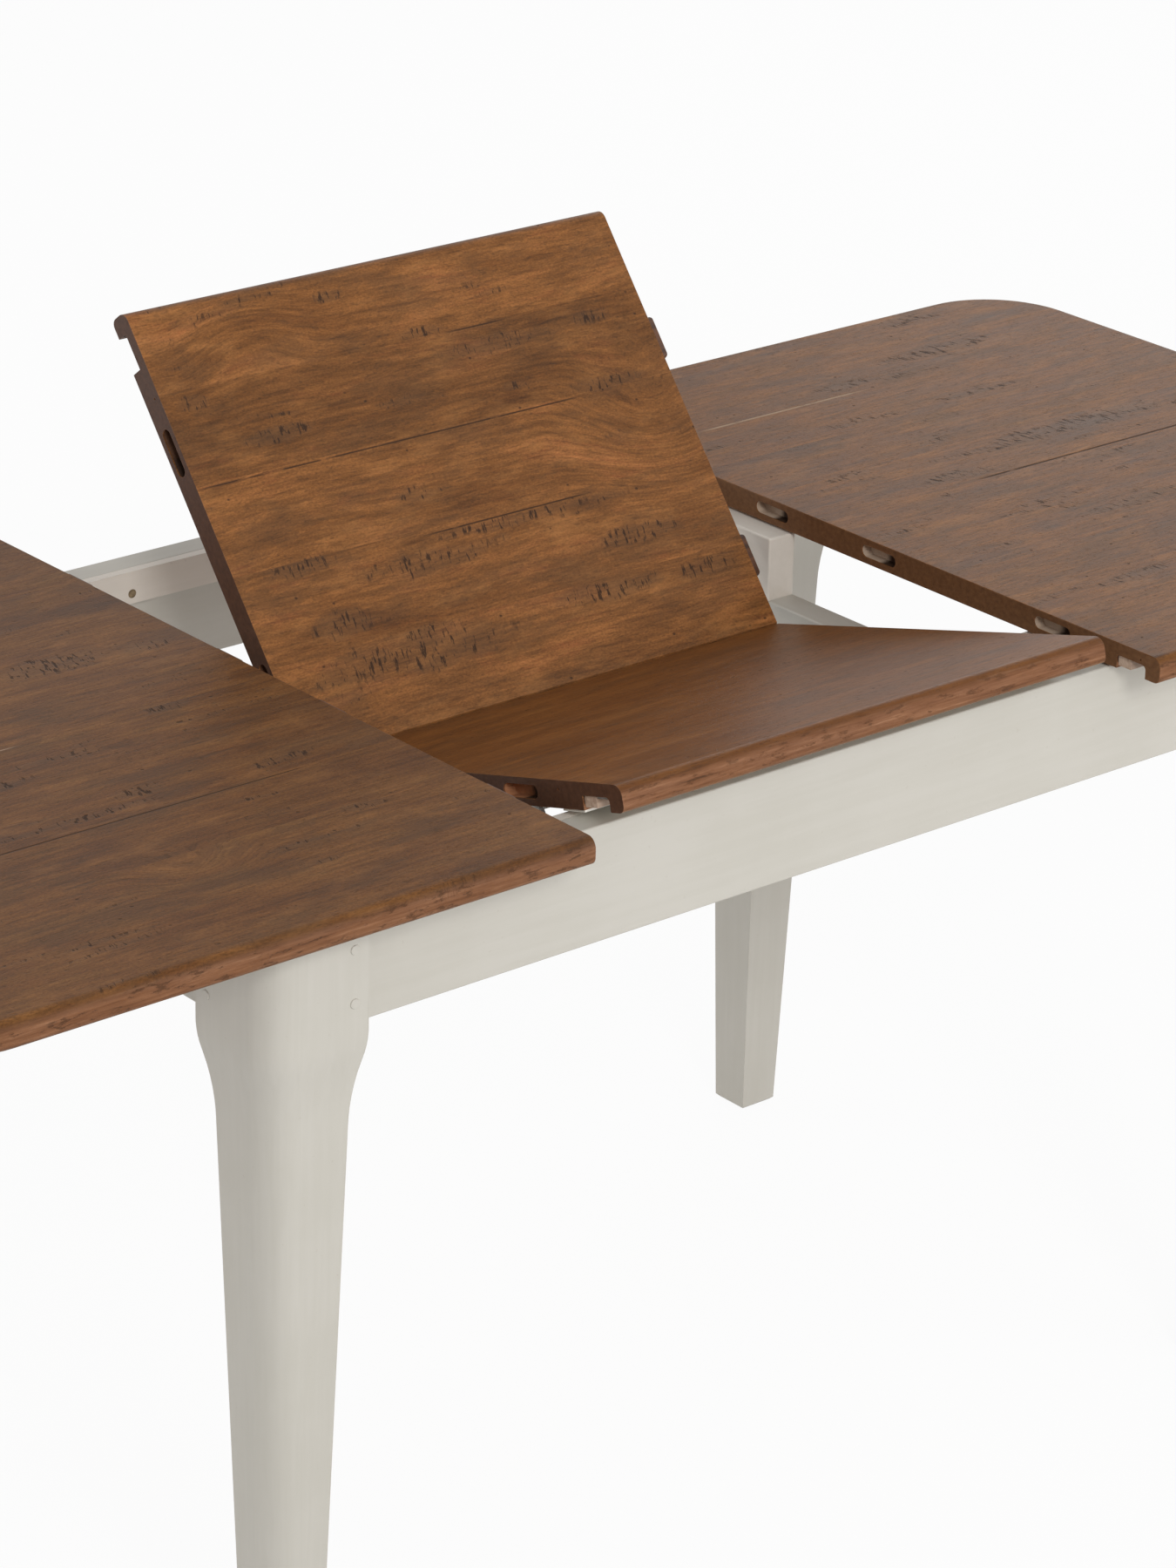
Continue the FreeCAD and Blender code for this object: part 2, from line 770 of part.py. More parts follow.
def build_frame():
    leg = leg_body()
    mortises = [long_tenon(1, leg_inner_x + tenon_length, tenon_clearance),
                end_tenon(1, leg_inner_y + tenon_length, tenon_clearance)]
    leg = leg.translated(Vector(leg_x, leg_y, 0)).cut(Part.makeCompound(mortises))
    for height in bolt_heights:
        leg = leg.cut(bolt(height, bolt_clearance))
    pegged = peg_holes()
    leg = leg.cut(pegged)
    block = corner_block()
    bolts = [bolt(height, 0) for height in bolt_heights]
    washers = [bolt_washer(height) for height in bolt_heights]
    nuts = [bolt_nut(height) for height in bolt_heights]
    glide = rod(glide_radius, Vector(leg_x, leg_y, 0), z_axis, glide_height)
    glide = eased(glide, glide_easing, lambda edge: edge.CenterOfMass.z < 1e-3)
    for name, signs in corners.items():
        save("leg_%s" % name, [at_corner(leg, signs)])
        save("corner_block_%s" % name, [at_corner(block, signs)])
    for name, pieces in (("leg_bolts", bolts), ("leg_bolt_washers", washers),
                         ("leg_bolt_nuts", nuts), ("foot_glides", [glide]),
                         ("tenon_pegs", leg_pegs())):
        save(name, [at_corner(piece, signs) for signs in corners.values() for piece in pieces])

    for name, side in (("front", -1), ("rear", 1)):
        holes = Part.makeCompound(bearer_screws(side, screw_hole))
        save("apron_%s" % name, [long_apron(side).cut(holes).cut(pegged)])
        save("bearer_rail_%s" % name, [bearer_rail(side)])
    save("bearer_screws", bearer_screws(-1, screw) + bearer_screws(1, screw))

    plate_screw_set = []
    for name, side in (("left", -1), ("right", 1)):
        save("apron_%s" % name, [end_apron(side).cut(pegged)])
        holes = Part.makeCompound(plate_screws(side, screw_hole))
        save("cross_rail_%s" % name, [cross_rail(side).cut(holes)])
        save("rail_block_%s_rear" % name, [rail_block(side, rear_block_start, block_end)])
        save("rail_block_%s_front" % name, [rail_block(side, -block_end, -front_block_start)])
        save("pivot_plate_%s" % name, [pivot_plate(side)])
        plate_screw_set += plate_screws(side, screw)
    save("pivot_plate_screws", plate_screw_set)
    save("angle_brackets", [angle_bracket(*signs) for signs in corners.values()])

    pad_height = running_gap - pad_clearance
    pads = []
    for x_side, y_side in corners.values():
        pads.append(rod(leg_pad_radius, Vector(x_side * leg_x, y_side * leg_y, frame_top), z_axis,
                        pad_height))
        middle = y_side * (bearer_inner + long_apron_outer) / 2
        for place in (rail_outer + pad_rail_inset, leg_inner_x - pad_leg_inset):
            along = x_side * place
            pads.append(box((along - pad_length / 2, along + pad_length / 2),
                            (middle - pad_width / 2, middle + pad_width / 2),
                            (frame_top, frame_top + pad_height)))
    save("slide_pads", pads)


def build_tops():
    blank = top_panel()
    for side in (-1, 1):
        blank = blank.cut(Part.makeCompound(guide_screws(side, screw_hole)))

    def inner_arris(edge):
        middle = edge.CenterOfMass
        return (runs_along(edge, y_axis) and abs(middle.z - table_height) < 1e-3
                and abs(middle.x) < 1e-3)

    blank = eased(blank, inner_edge_easing, inner_arris)
    slots = along_edge(tongue_slot(), 0, top_tongues)
    for side in (-1, 1):
        hole = Vector(0, side * (half_width - locating_hole_inset), table_height - locating_hole_drop)
        slots.append(rod(locating_hole_radius, hole, x_axis, locating_hole_depth))
    mortises = along_edge(mirrored(tongue_mortise(), x_axis), 0, top_tongues)
    plain = {"left": blank.cut(Part.makeCompound(mortises)), "right": blank.cut(Part.makeCompound(slots))}
    for name, shift in top_shift.items():
        flip = name == "left"

        def placed(shape):
            return (mirrored(shape, x_axis) if flip else shape).translated(shift)

        save("top_panel_%s" % name, [placed(plain[name])])
        for place, side in (("front", -1), ("rear", 1)):
            save("guide_batten_%s_%s" % (name, place), [placed(guide_batten(side))])
        screws = guide_screws(-1, screw) + guide_screws(1, screw)
        save("guide_screws_%s" % name, [placed(piece) for piece in screws])
        strip_ends = (strip_end_gap, top_length - groove_end_margin - strip_end_gap)
        strips = [groove_strip(strip_ends, side) for side in (-1, 1)]
        save("groove_strips_top_%s" % name, [placed(piece) for piece in strips])
    tongues = along_edge(tongue(), 0, top_tongues)
    save("tongues_top_left", [piece.translated(top_shift["left"]) for piece in tongues])


def build_leaf():
    rear_panel = leaf_panel()
    front_panel = mirrored(rear_panel, y_axis)
    for side in (-1, 1):
        front_panel = front_panel.cut(Part.makeCompound(bracket_screws(side, screw_hole)))
    save("leaf_panel_front", [swung(front_panel)])
    save("leaf_panel_rear", [folded(rear_panel)])
    rear_places = (tongue_near, tongue_far)
    front_places = (-tongue_far, -tongue_near)
    strip_ends = (strip_end_gap - half_leaf, half_leaf - strip_end_gap)
    rear_ends = (rear_strip_end_gap - half_leaf, half_leaf - rear_strip_end_gap)
    for name, make in (("groove_strip", groove_strip), ("groove_bar", groove_bar), ("rest_strip", rest_strip)):
        save("%s_leaf_front" % name, [swung(make(strip_ends, -1))])
        save("%s_leaf_rear" % name, [folded(make(rear_ends, 1))])
    save("tongues_leaf_front", [swung(piece) for piece in along_edge(tongue(), half_leaf, front_places)])
    save("tongues_leaf_rear", [folded(piece) for piece in along_edge(tongue(), half_leaf, rear_places)])
    front_halves = [mirrored(hinge_half(x, (0, 2), (1,)), y_axis) for x in hinge_places]
    rear_halves = [hinge_half(x, (1,), (0, 2)) for x in hinge_places]
    save("hinge_leaves_front", [swung(piece) for piece in front_halves])
    save("hinge_leaves_rear", [folded(piece) for piece in rear_halves])
    save("hinge_pins", [swung(hinge_pin(x, 0)) for x in hinge_places])
    for name, side in (("left", -1), ("right", 1)):
        save("leaf_bracket_%s" % name, [swung(leaf_bracket(side))])
    save("leaf_pivot_pins", [swung(pivot_pin(side)) for side in (-1, 1)])
    screws = bracket_screws(-1, screw) + bracket_screws(1, screw)
    save("leaf_bracket_screws", [swung(piece) for piece in screws])


build_frame()
build_tops()
build_leaf()
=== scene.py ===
import bpy
import json
import math
from mathutils import Matrix, Vector

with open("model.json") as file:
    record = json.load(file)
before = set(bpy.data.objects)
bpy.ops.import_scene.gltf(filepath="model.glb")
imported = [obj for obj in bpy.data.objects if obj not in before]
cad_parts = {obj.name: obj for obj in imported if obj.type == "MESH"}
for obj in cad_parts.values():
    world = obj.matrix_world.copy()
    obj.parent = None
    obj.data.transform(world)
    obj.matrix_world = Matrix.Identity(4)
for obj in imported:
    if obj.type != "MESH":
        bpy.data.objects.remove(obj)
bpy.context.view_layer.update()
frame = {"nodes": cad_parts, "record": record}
nodes = frame["nodes"]
print("frame loaded:", len(nodes), "nodes")


# small helpers for node trees
def tone(red, green, blue):  # screen colour, 0 to 255, as Blender's linear colour
    channels = []
    for part in (red, green, blue):
        part = part / 255.0
        channels.append(part / 12.92 if part < 0.04045 else ((part + 0.055) / 1.055) ** 2.4)
    return (*channels, 1.0)


def newFinish(name):
    finish = bpy.data.materials.new(name)
    finish.use_nodes = True
    tree = finish.node_tree
    tree.nodes.clear()
    out = tree.nodes.new("ShaderNodeOutputMaterial")
    shader = tree.nodes.new("ShaderNodeBsdfPrincipled")
    tree.links.new(shader.outputs[0], out.inputs["Surface"])
    return finish, tree, shader


def plug(tree, source, socket):
    if isinstance(source, bpy.types.NodeSocket):
        tree.links.new(source, socket)
    else:
        socket.default_value = source


def sums(tree, operation, a, b=0.0):
    node = tree.nodes.new("ShaderNodeMath")
    node.operation = operation
    plug(tree, a, node.inputs[0])
    plug(tree, b, node.inputs[1])
    return node.outputs[0]


def times(tree, a, b):
    return sums(tree, "MULTIPLY", a, b)


def plus(tree, a, b):
    return sums(tree, "ADD", a, b)


def minus(tree, a, b):
    return sums(tree, "SUBTRACT", a, b)


def larger(tree, a, b):
    return sums(tree, "MAXIMUM", a, b)


def below(tree, a, b):  # 1 where a is under b
    return sums(tree, "LESS_THAN", a, b)


def unsigned(tree, a):
    return sums(tree, "ABSOLUTE", a)


def reverse(tree, a):  # 1 turns to 0 and 0 to 1
    return sums(tree, "SUBTRACT", 1.0, a)


def vectors(tree, operation, *parts):
    node = tree.nodes.new("ShaderNodeVectorMath")
    node.operation = operation
    for part, socket in zip(parts, node.inputs):
        plug(tree, part, socket)
    return node.outputs["Value" if operation in ("DOT_PRODUCT", "LENGTH") else "Vector"]


def axes(tree, vector):
    node = tree.nodes.new("ShaderNodeSeparateXYZ")
    tree.links.new(vector, node.inputs[0])
    return node.outputs


def mapped(tree, vector, place=(0, 0, 0), turn=(0, 0, 0), scale=(1, 1, 1)):
    node = tree.nodes.new("ShaderNodeMapping")
    node.inputs["Location"].default_value = place
    node.inputs["Rotation"].default_value = turn
    node.inputs["Scale"].default_value = scale
    tree.links.new(vector, node.inputs["Vector"])
    return node.outputs[0]


def blend(tree, factor, a, b, way="MIX"):
    node = tree.nodes.new("ShaderNodeMix")
    node.data_type = "RGBA"
    node.blend_type = way
    plug(tree, factor, node.inputs[0])
    plug(tree, a, node.inputs[6])  # the colour sockets of the node
    plug(tree, b, node.inputs[7])
    return node.outputs[2]


def step(tree, value, low, high):  # soft step from 0 at low to 1 at high
    node = tree.nodes.new("ShaderNodeMapRange")
    node.interpolation_type = "SMOOTHSTEP"
    plug(tree, value, node.inputs[0])
    node.inputs[1].default_value = low
    node.inputs[2].default_value = high
    return node.outputs[0]


def cloud(tree, vector, scale, detail=3.0, rough=0.5, warp=0.0, colour=False):
    node = tree.nodes.new("ShaderNodeTexNoise")
    tree.links.new(mapped(tree, vector, scale=scale), node.inputs["Vector"])
    node.inputs["Scale"].default_value = 1.0
    node.inputs["Detail"].default_value = detail
    node.inputs["Roughness"].default_value = rough
    node.inputs["Distortion"].default_value = warp
    return node.outputs[1 if colour else 0]


def layer(tree, vector, values):  # a cloud, or soft patches where the values also give a step's low and high
    scale, detail, rough, *ends = values
    noise = cloud(tree, vector, scale, detail, rough)
    return step(tree, noise, *ends) if ends else noise


def even(scale):
    return (scale, scale, scale)


def runs(lie, along, across):  # pattern scale with its long way on one axis
    return tuple(along if axis == lie else across for axis in "xyz")


def shades(tree, value, stops, hard=False):
    node = tree.nodes.new("ShaderNodeValToRGB")
    tree.links.new(value, node.inputs[0])
    ramp = node.color_ramp
    ramp.interpolation = "CONSTANT" if hard else "LINEAR"
    while len(ramp.elements) < len(stops):
        ramp.elements.new(0.5)
    for element, (place, colour) in zip(ramp.elements, stops):
        element.position = place
        element.color = colour
    return node.outputs[0]


def relief(tree, shader, height, depth, strength):
    node = tree.nodes.new("ShaderNodeBump")
    node.inputs["Strength"].default_value = strength
    node.inputs["Distance"].default_value = depth
    tree.links.new(height, node.inputs["Height"])
    tree.links.new(node.outputs[0], shader.inputs["Normal"])


sharpness = {"samples": 2, "low": 0.02, "high": 0.25}  # how far a face has to turn to count as an edge


def arris(tree, reach):  # 1 on the sharp edges, 0 on open faces
    edge = tree.nodes.new("ShaderNodeBevel")
    edge.samples = sharpness["samples"]
    edge.inputs["Radius"].default_value = reach
    face = tree.nodes.new("ShaderNodeNewGeometry")
    likeness = vectors(tree, "DOT_PRODUCT", edge.outputs[0], face.outputs["Normal"])
    return step(tree, reverse(tree, likeness), sharpness["low"], sharpness["high"])


def objectCoords(tree):
    return tree.nodes.new("ShaderNodeTexCoord").outputs["Object"]


# waxed, distressed boards: the pattern lies flat with the board, whatever its tilt (metres, as laid flat)
boards = {
    "plank": 0.0805,
    "plankCount": 10,
    "plankShift": 50.0,  # keeps the plank numbers above zero
    "plankJump": even(4.0),  # how far apart two planks' figures lie
    "knotShape": 1.5,  # length to height
    "arris": 0.0016,
    "slots": (-0.277, -0.068, 0.068, 0.277),
    "slotHalf": 0.03,
    "slotLow": 0.7325,
    "slotHigh": 0.7450,
    "slotDepth": 0.03,
    "slotSkin": 0.0012,
    "slotReach": 0.390,  # no slot lies further out
    "seamFade": 0.03,
    "pivot": (0, -0.306, 0.6725),
    "hinge": (0, 0.0090316, 0.6614723),
    "swing": 15.9,
    "fold": 67.3,
}
woodTones = {
    "grain": (tone(62, 62, 64), tone(194, 194, 190)),
    "dust": (tone(70, 70, 70), tone(186, 186, 186)),
    "streak": tone(78, 46, 24),
    "grey": tone(92, 67, 46),
    "tick": tone(50, 33, 21),
    "nose": (tone(64, 43, 31), tone(114, 74, 49), tone(134, 92, 65), tone(170, 127, 96)),
    "under": (tone(92, 62, 40), tone(152, 112, 78)),
    # painted shade for the front end of each tongue slot
    "slotShade": tone(58, 41, 31),
    "glue": tone(176, 150, 126),
}
woodStops = {"figure": (0.27, 0.42, 0.56, 0.74), "nose": (0.28, 0.42, 0.56, 0.74), "speckle": (0.3, 0.7)}
woodLayers = {  # scale along x, y and z, detail, roughness, then low and high of the step
    "wander": ((5, 13, 13), 2.0),
    "figure": ((7, 33, 33), 9.0, 0.70),
    "grain": ((22, 260, 260), 4.0, 0.68),
    "dust": ((380, 620, 620), 3.0, 0.65),
    "streak": ((9, 170, 170), 6.0, 0.70, 0.56, 0.66),
    "bloom": ((13, 34, 34), 7.0, 0.72, 0.50, 0.66),
    "weather": ((8, 25, 25), 8.0, 0.74, 0.46, 0.62),
    "ragged": ((26, 60, 60), 4.0, 0.6),
    "rows": ((8, 46, 46), 3.0, 0.55),
    "ticks": ((300, 75, 75), 3.0, 0.6, 0.54, 0.63),
    "pores": ((150, 620, 620), 2.0, 0.5, 0.57, 0.67),
    "worn": ((13, 230, 230), 8.0, 0.70),
    "chips": ((46, 170, 170), 7.0, 0.74, 0.54, 0.61),
    "rings": ((60, 210, 260), 4.0, 0.6),
}
woodSteps = {  # low and high of the other soft steps
    "spot": (0.55, 1.05),
    "pitSize": (0.06, 0.13),
    "pitShare": (0.80, 0.84),
    "seamBreaks": (0.30, 0.45),
    "edgeBreaks": (0.42, 0.62),
    "nose": (0.35, 0.92),
    "upperDark": (0.741, 0.747),  # height of the upper arris
    "ends": (0.55, 0.92),
    "under": (0.55, 0.9),
    "shadeEdge": (-0.006, 0.002),
}
woodAmounts = {"planks": 0.6, "rows": 0.30, "rowsSoft": 0.10, "fray": 1.6, "ticks": 0.90, "pits": 0.75,
               "pores": 0.26, "seams": 0.85, "seamCore": 0.3, "upperDark": 0.5, "nose": 0.80, "under": 0.8,
               "edges": 0.30}
pitScale = (60, 85, 85)
woodGloss = {"figure": 0.16, "marks": 0.18, "inSlot": 0.25}
woodRelief = {"grain": 0.40, "figure": 0.4, "ends": 0.85, "depth": 0.0006, "strength": 0.55}


def flatPlacement(board):
    turn = Matrix.Rotation(math.radians(boards["swing"]), 3, "X")
    pivot = Vector(boards["pivot"])
    hinge = Vector(boards["hinge"])
    if board == "leafFront":
        return boards["swing"], pivot - turn @ pivot
    if board == "leafRear":
        back = boards["swing"] - boards["fold"]
        flatHinge = turn @ (hinge - pivot) + pivot
        return back, flatHinge - Matrix.Rotation(math.radians(back), 3, "X") @ hinge
    return 0.0, Vector((0, 0, 0))


def boardCoords(tree, board):  # place on the flat board, and how far its surface faces the ends and up
    angle, offset = flatPlacement(board)
    turn = (math.radians(angle), 0, 0)
    coords = tree.nodes.new("ShaderNodeTexCoord")
    flat = mapped(tree, coords.outputs["Object"], offset, turn)
    along, across, height = axes(tree, flat)
    facing = axes(tree, mapped(tree, coords.outputs["Normal"], turn=turn))
    return {"flat": flat, "along": along, "across": across, "height": height,
            "endWise": facing[0], "upWise": facing[2]}


def reachTo(tree, flat, x, y, halfLength, halfHeight):  # 0 at the middle of an oval spot, 1 on its rim
    place = (-x / halfLength, -y / halfHeight, 0.0)
    spot = mapped(tree, flat, place, scale=(1.0 / halfLength, 1.0 / halfHeight, 0.0))
    return vectors(tree, "LENGTH", spot)


def plankGrain(tree, at, look):  # each plank has its own figure, and the grain bends round a knot
    at["plank"] = sums(tree, "DIVIDE", at["across"], boards["plank"])
    number = sums(tree, "FLOOR", plus(tree, at["plank"], boards["plankShift"]))
    lot = tree.nodes.new("ShaderNodeTexWhiteNoise")
    lot.noise_dimensions = "1D"
    tree.links.new(plus(tree, number, look["seed"]), lot.inputs["W"])
    at["shift"] = vectors(tree, "MULTIPLY_ADD", lot.outputs["Color"], boards["plankJump"], at["flat"])
    sway = cloud(tree, at["shift"], *woodLayers["wander"], colour=True)
    swayReach = (0.0, look["wander"], look["wander"])
    at["wander"] = vectors(tree, "MULTIPLY_ADD", sway, swayReach, at["shift"])
    at["bent"] = at["wander"]
    for x, y, reach, lift in look["knots"]:
        knot = reachTo(tree, at["flat"], x, y, boards["knotShape"] * reach, reach)
        swell = tree.nodes.new("ShaderNodeCombineXYZ")
        tree.links.new(times(tree, reverse(tree, step(tree, knot, 0.0, 1.0)), lift), swell.inputs["Y"])
        at["bent"] = vectors(tree, "ADD", at["bent"], swell.outputs[0])


def woodColour(tree, at, look):  # colour along the grain, fine speckle, streaks and grey weathering
    at["figure"] = layer(tree, at["bent"], woodLayers["figure"])
    at["grain"] = layer(tree, at["bent"], woodLayers["grain"])
    at["dust"] = layer(tree, at["flat"], woodLayers["dust"])
    colour = shades(tree, at["figure"], list(zip(woodStops["figure"], look["tones"])))
    for name in ("grain", "dust"):
        speckle = shades(tree, at[name], list(zip(woodStops["speckle"], woodTones[name])))
        colour = blend(tree, look[name], colour, speckle, "OVERLAY")
    patches = (("streak", "bent", woodTones["streak"]),
               ("bloom", "wander", look["tones"][-1]),
               ("weather", "shift", woodTones["grey"]))
    for name, vector, tint in patches:
        patch = layer(tree, at[vector], woodLayers[name])
        colour = blend(tree, times(tree, patch, look[name]), colour, tint)
    count = boards["plankCount"]
    levels = [(number / count, tone(*even(level))) for number, level in enumerate(look["planks"])]
    plankPlace = plus(tree, sums(tree, "DIVIDE", at["plank"], count), 0.5)
    return blend(tree, woodAmounts["planks"], colour, shades(tree, plankPlace, levels, hard=True), "OVERLAY")


def seam(tree, at, y, start, end, width):  # one open glue line between two planks
    near = unsigned(tree, minus(tree, at["across"], y))
    line = reverse(tree, step(tree, near, woodAmounts["seamCore"] * width, width))
    half = (end - start) / 2
    reach = unsigned(tree, minus(tree, at["along"], (start + end) / 2))
    length = reverse(tree, step(tree, reach, half - boards["seamFade"], half))
    return times(tree, times(tree, line, length), step(tree, at["ragged"], *woodSteps["seamBreaks"]))


def distress(tree, at, look, colour):  # rows of short marks across the grain, pits, pores and open seams
    at["ragged"] = layer(tree, at["flat"], woodLayers["ragged"])
    rows = layer(tree, at["shift"], woodLayers["rows"])
    rows = step(tree, rows, look["rows"], look["rows"] + woodAmounts["rowsSoft"])
    fray = times(tree, minus(tree, at["ragged"], 0.5), woodAmounts["fray"])
    for x, y, halfLength, halfHeight in look["marks"]:
        spot = plus(tree, reachTo(tree, at["flat"], x, y, halfLength, halfHeight), fray)
        rows = larger(tree, rows, reverse(tree, step(tree, spot, *woodSteps["spot"])))
    colour = blend(tree, times(tree, rows, woodAmounts["rows"]), colour, woodTones["grey"])
    slant = mapped(tree, at["shift"], turn=(0, 0, math.radians(look["slant"])))
    ticks = times(tree, layer(tree, slant, woodLayers["ticks"]), rows)
    speck = tree.nodes.new("ShaderNodeTexVoronoi")
    speck.inputs["Scale"].default_value = 1.0
    tree.links.new(mapped(tree, slant, scale=pitScale), speck.inputs["Vector"])
    pits = reverse(tree, step(tree, speck.outputs["Distance"], *woodSteps["pitSize"]))
    pits = times(tree, pits, step(tree, axes(tree, speck.outputs["Color"])[0], *woodSteps["pitShare"]))
    pores = layer(tree, at["bent"], woodLayers["pores"])
    marks = times(tree, ticks, woodAmounts["ticks"])
    marks = larger(tree, marks, times(tree, pits, woodAmounts["pits"]))
    marks = larger(tree, marks, times(tree, pores, woodAmounts["pores"]))
    colour = blend(tree, marks, colour, woodTones["tick"])
    for y, start, end, filling in look["seams"]:
        line = seam(tree, at, y, start, end, look["seamWidth"])
        colour = blend(tree, times(tree, line, woodAmounts["seams"]), colour, woodTones[filling])
        marks = larger(tree, marks, line)
    at["marks"] = marks
    return colour


def nosedEdges(tree, at, look, colour):  # nose rubbed and chipped, end grain dark, underside plain
    dark = woodTones["nose"][0]
    nose = reverse(tree, step(tree, unsigned(tree, at["upWise"]), *woodSteps["nose"]))
    worn = layer(tree, at["flat"], woodLayers["worn"])
    noseTone = shades(tree, worn, list(zip(woodStops["nose"], woodTones["nose"])))
    chips = layer(tree, at["flat"], woodLayers["chips"])
    noseTone = blend(tree, times(tree, chips, look["chips"]), noseTone, dark)
    # the nose is darker towards the upper arris
    upperDark = step(tree, at["height"], *woodSteps["upperDark"])
    noseTone = blend(tree, times(tree, upperDark, woodAmounts["upperDark"]), noseTone, dark)
    colour = blend(tree, times(tree, nose, woodAmounts["nose"]), colour, noseTone)
    at["marks"] = larger(tree, at["marks"], times(tree, times(tree, chips, nose), look["chips"]))
    at["ends"] = step(tree, unsigned(tree, at["endWise"]), *woodSteps["ends"])
    innerEnds = times(tree, at["ends"], below(tree, unsigned(tree, at["along"]), look["endX"]))
    endTone = blend(tree, layer(tree, at["flat"], woodLayers["rings"]), *look["ends"])
    colour = blend(tree, innerEnds, colour, endTone)
    under = step(tree, times(tree, at["upWise"], -1.0), *woodSteps["under"])
    underTone = blend(tree, at["figure"], *woodTones["under"])
    return blend(tree, times(tree, under, woodAmounts["under"]), colour, underTone)


def slotWood(tree, at, look, colour):  # bare wood inside the tongue slots, with painted shade over the front end of each slot
    fromEnd = minus(tree, unsigned(tree, at["along"]), look["slotX"])
    limits = (below(tree, times(tree, fromEnd, look["slotSide"]), -boards["slotSkin"]),
              below(tree, unsigned(tree, fromEnd), boards["slotDepth"]),
              below(tree, boards["slotLow"], at["height"]),
              below(tree, at["height"], boards["slotHigh"]),
              below(tree, unsigned(tree, at["across"]), boards["slotReach"]))
    at["inSlot"] = limits[0]
    for limit in limits[1:]:
        at["inSlot"] = times(tree, at["inSlot"], limit)
    litShare = 0.0
    for y in boards["slots"]:
        off = minus(tree, at["across"], y)
        litRear = times(tree, step(tree, off, *woodSteps["shadeEdge"]), below(tree, off, boards["slotHalf"]))
        litShare = plus(tree, litShare, litRear)
    # bare wood tone of the slots, dark on the rear leaf as painted shade
    slotTone = blend(tree, at["grain"], *look["bare"])
    slotTone = blend(tree, litShare, woodTones["slotShade"], slotTone)  # painted shade: the front end of each slot is dark as if in shadow, the rear end stays lit
    return blend(tree, at["inSlot"], colour, slotTone)


def waxedBoard(name, board, look):
    finish, tree, shader = newFinish(name)
    at = boardCoords(tree, board)
    plankGrain(tree, at, look)
    colour = woodColour(tree, at, look)
    colour = distress(tree, at, look, colour)
    colour = nosedEdges(tree, at, look, colour)
    colour = slotWood(tree, at, look, colour)
    edges = times(tree, arris(tree, boards["arris"]), step(tree, at["ragged"], *woodSteps["edgeBreaks"]))
    colour = blend(tree, times(tree, edges, woodAmounts["edges"]), colour, woodTones["nose"][-1])
    tree.links.new(colour, shader.inputs["Base Color"])
    gloss = look["rough"]
    for part, amount in woodGloss.items():
        gloss = plus(tree, gloss, times(tree, at[part], amount))
    tree.links.new(gloss, shader.inputs["Roughness"])
    shader.inputs["Specular IOR Level"].default_value = look["specular"]
    level = minus(tree, times(tree, at["grain"], woodRelief["grain"]), at["marks"])
    level = plus(tree, level, times(tree, at["figure"], woodRelief["figure"]))
    level = times(tree, level, reverse(tree, times(tree, at["ends"], woodRelief["ends"])))
    relief(tree, shader, level, woodRelief["depth"], woodRelief["strength"])
    return finish


# one set of values per board: planks from the front edge to the rear, knots (x, y, reach, lift),
# seams (y, start, end, filling), marks (x, y, half length, half height)
topLeftLook = {
    "seed": 3.0,
    "tones": (tone(118, 73, 38), tone(149, 95, 50), tone(169, 112, 61), tone(190, 133, 78)),
    "planks": (130, 126, 122, 130, 124, 128, 132, 122, 130, 126),
    "grain": 0.48, "dust": 0.52, "streak": 0.26, "bloom": 0.26, "weather": 0.42, "chips": 0.70,
    "rows": 0.59, "slant": 14, "wander": 0.010, "rough": 0.38, "specular": 0.12,
    "knots": [(-0.56, -0.27, 0.05, 0.03)],
    "seamWidth": 0.0012,
    "seams": [(-0.1645, -0.90, -0.375, "tick"), (-0.002, -0.90, -0.53, "glue")],
    "marks": [(-0.423, 0.118, 0.060, 0.022), (-0.337, 0.109, 0.036, 0.010), (-0.393, -0.142, 0.036, 0.008),
              (-0.403, -0.005, 0.026, 0.009), (-0.513, -0.128, 0.030, 0.010), (-0.395, -0.249, 0.022, 0.007),
              (-0.578, -0.146, 0.090, 0.006), (-0.560, 0.230, 0.080, 0.012), (-0.620, -0.060, 0.060, 0.010)],
    "endX": 0.300, "slotX": 0.297, "slotSide": -1.0,
    "ends": (tone(74, 49, 32), tone(126, 88, 58)),
    "bare": (tone(166, 142, 122), tone(200, 180, 160)),
}
topRightLook = {
    "seed": 11.0,
    "tones": (tone(125, 77, 38), tone(159, 101, 50), tone(180, 117, 59), tone(202, 139, 77)),
    "planks": (126, 130, 122, 130, 126, 130, 124, 131, 126, 130),
    "grain": 0.48, "dust": 0.46, "streak": 0.26, "bloom": 0.26, "weather": 0.40, "chips": 0.70,
    "rows": 0.585, "slant": -14, "wander": 0.010, "rough": 0.38, "specular": 0.10,
    "knots": [],
    "seamWidth": 0.0021,
    "seams": [(0.0, 0.47, 0.90, "tick"), (0.2420, 0.36, 0.575, "glue")],
    "marks": [(0.700, 0.290, 0.085, 0.013), (0.560, 0.263, 0.045, 0.010), (0.640, 0.060, 0.130, 0.016),
              (0.473, 0.019, 0.060, 0.012), (0.396, 0.075, 0.032, 0.009), (0.415, -0.250, 0.060, 0.009),
              (0.560, -0.120, 0.070, 0.010)],
    "endX": 0.300, "slotX": 0.297, "slotSide": -1.0,
    "ends": (tone(74, 49, 32), tone(126, 88, 58)),
    "bare": (tone(166, 142, 122), tone(200, 180, 160)),
}
